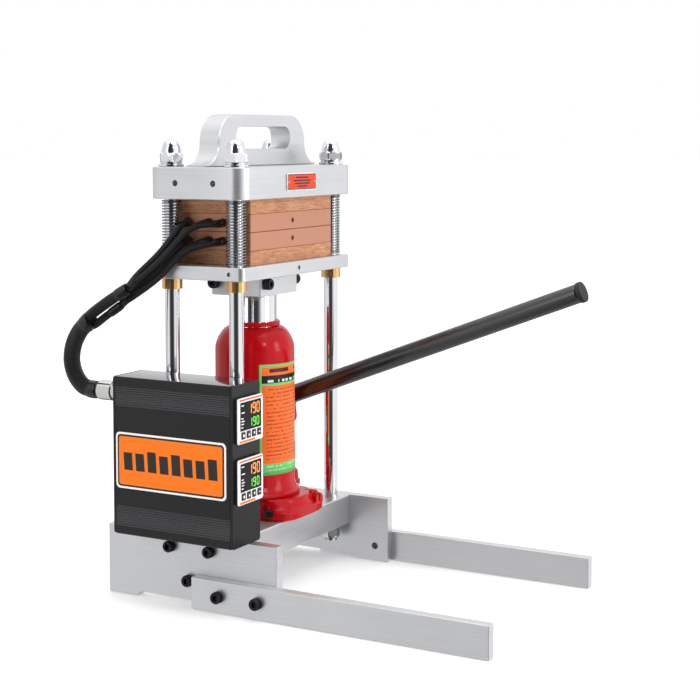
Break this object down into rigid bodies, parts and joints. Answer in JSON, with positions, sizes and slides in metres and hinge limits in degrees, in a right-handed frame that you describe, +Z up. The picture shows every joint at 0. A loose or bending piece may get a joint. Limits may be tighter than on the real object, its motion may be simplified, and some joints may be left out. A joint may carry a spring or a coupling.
{
  "type": "bottle jack heat press",
  "caption": "Bench hydraulic press: bottle jack between guide rods lifts a sprung platen to close two heated plates, with control box, pump lever and stabiliser legs.",
  "frame": {"origin": "centre of the footprint of everything but the cables, on the floor the feet stand on", "axes": "+Z up; -Y is the front, the way the legs, lever and displays point; -X is the control box side"},
  "size_m": [0.3192, 0.5336, 0.5325],
  "materials": {
    "plate_aluminium": "fine brushed and clear anodised",
    "rod_chrome": "polished chrome plate",
    "bushing_brass": "turned brass",
    "spring_steel": "bright spring steel",
    "heat_plate": "copper coloured anodising",
    "board": "brown streaked insulating board",
    "jack_red": "gloss red enamel",
    "lever_black": "gloss black enamel",
    "cap_rubber": "matte",
    "box_black": "black anodised extrusion",
    "label_orange": "printed film",
    "bezel_white": "printed front panel",
    "key_black": "soft touch key",
    "braid": "black braided sleeving"
  },
  "bodies": {
    "press_frame": {"foot_plate_left": "plate_aluminium", "foot_plate_right": "plate_aluminium", "leg_left": "plate_aluminium", "leg_right": "plate_aluminium", "base_plate": "plate_aluminium", "top_plate": "plate_aluminium", "carry_handle": "plate_aluminium", "guide_rod_front_left": "rod_chrome", "guide_rod_front_right": "rod_chrome", "guide_rod_back_left": "rod_chrome", "guide_rod_back_right": "rod_chrome", "cap_nut_front_left": "rod_chrome", "cap_nut_front_right": "rod_chrome", "cap_nut_back_left": "rod_chrome", "cap_nut_back_right": "rod_chrome", "cable_gland": "rod_chrome", "return_spring_front_left": "spring_steel", "return_spring_front_right": "spring_steel", "return_spring_back_left": "spring_steel", "return_spring_back_right": "spring_steel", "upper_heat_plate": "heat_plate", "upper_board": "board", "jack_base": "jack_red", "jack_body": "jack_red", "ram_gland_nut": "jack_red", "fulcrum_link": "jack_red", "box_shell": "box_black", "box_front_cover": "box_black", "box_back_cover": "box_black", "front_tag": "label_orange", "box_label": "label_orange", "controller_upper": "bezel_white", "controller_lower": "bezel_white", "cable_sleeve": "braid", "heater_leads_upper": "braid", "heater_leads_lower": "braid"},
    "platen": {"platen": "plate_aluminium", "bushing_front_left": "bushing_brass", "bushing_front_right": "bushing_brass", "bushing_back_left": "bushing_brass", "bushing_back_right": "bushing_brass", "lower_board": "board", "lower_heat_plate": "heat_plate", "ram_collar": "plate_aluminium", "jack_ram": "rod_chrome"},
    "pump_lever": {"lever_socket": "jack_red", "lever_bar": "lever_black", "lever_cap": "cap_rubber", "plunger_pin": "spring_steel", "fulcrum_pin": "spring_steel"},
    "plunger": {"pump_plunger": "spring_steel"},
    "valve": {"release_valve": "jack_red"},
    "key_upper_1_body": {"key_upper_1": "key_black"},
    "key_upper_2_body": {"key_upper_2": "key_black"},
    "key_upper_3_body": {"key_upper_3": "key_black"},
    "key_upper_4_body": {"key_upper_4": "key_black"},
    "key_lower_1_body": {"key_lower_1": "key_black"},
    "key_lower_2_body": {"key_lower_2": "key_black"},
    "key_lower_3_body": {"key_lower_3": "key_black"},
    "key_lower_4_body": {"key_lower_4": "key_black"}
  },
  "joints": [
    {"name": "platen_slide", "type": "slide", "parent": "press_frame", "child": "platen", "axis": [0, 0, 1], "range_m": [-0.028, 0], "deforming": ["return_spring_front_left", "return_spring_front_right", "return_spring_back_left", "return_spring_back_right"]},
    {"name": "lever_hinge", "type": "hinge", "parent": "press_frame", "child": "pump_lever", "pos_m": [0.0746, 0.1582, 0.171], "axis": [1, 0, 0], "range_deg": [-15, 30]},
    {"name": "plunger_slide", "type": "slide", "parent": "press_frame", "child": "plunger", "axis": [0, 0, 1], "range_m": [-0.0138, 0.007]},
    {"name": "valve_turn", "type": "hinge", "parent": "press_frame", "child": "valve", "pos_m": [0.0426, 0.0702, 0.089], "axis": [0, -1, 0], "range_deg": [0, 270]},
    {"name": "key_upper_1_press", "type": "slide", "parent": "press_frame", "child": "key_upper_1_body", "axis": [0, 1, 0], "range_m": [0, 0.001], "stiffness_N_per_m": 300},
    {"name": "key_upper_2_press", "type": "slide", "parent": "press_frame", "child": "key_upper_2_body", "axis": [0, 1, 0], "range_m": [0, 0.001], "stiffness_N_per_m": 300},
    {"name": "key_upper_3_press", "type": "slide", "parent": "press_frame", "child": "key_upper_3_body", "axis": [0, 1, 0], "range_m": [0, 0.001], "stiffness_N_per_m": 300},
    {"name": "key_upper_4_press", "type": "slide", "parent": "press_frame", "child": "key_upper_4_body", "axis": [0, 1, 0], "range_m": [0, 0.001], "stiffness_N_per_m": 300},
    {"name": "key_lower_1_press", "type": "slide", "parent": "press_frame", "child": "key_lower_1_body", "axis": [0, 1, 0], "range_m": [0, 0.001], "stiffness_N_per_m": 300},
    {"name": "key_lower_2_press", "type": "slide", "parent": "press_frame", "child": "key_lower_2_body", "axis": [0, 1, 0], "range_m": [0, 0.001], "stiffness_N_per_m": 300},
    {"name": "key_lower_3_press", "type": "slide", "parent": "press_frame", "child": "key_lower_3_body", "axis": [0, 1, 0], "range_m": [0, 0.001], "stiffness_N_per_m": 300},
    {"name": "key_lower_4_press", "type": "slide", "parent": "press_frame", "child": "key_lower_4_body", "axis": [0, 1, 0], "range_m": [0, 0.001], "stiffness_N_per_m": 300}
  ],
  "couplings": [
    {"joint": "plunger_slide", "follows": "lever_hinge", "m_per_rad": -0.026}
  ]
}
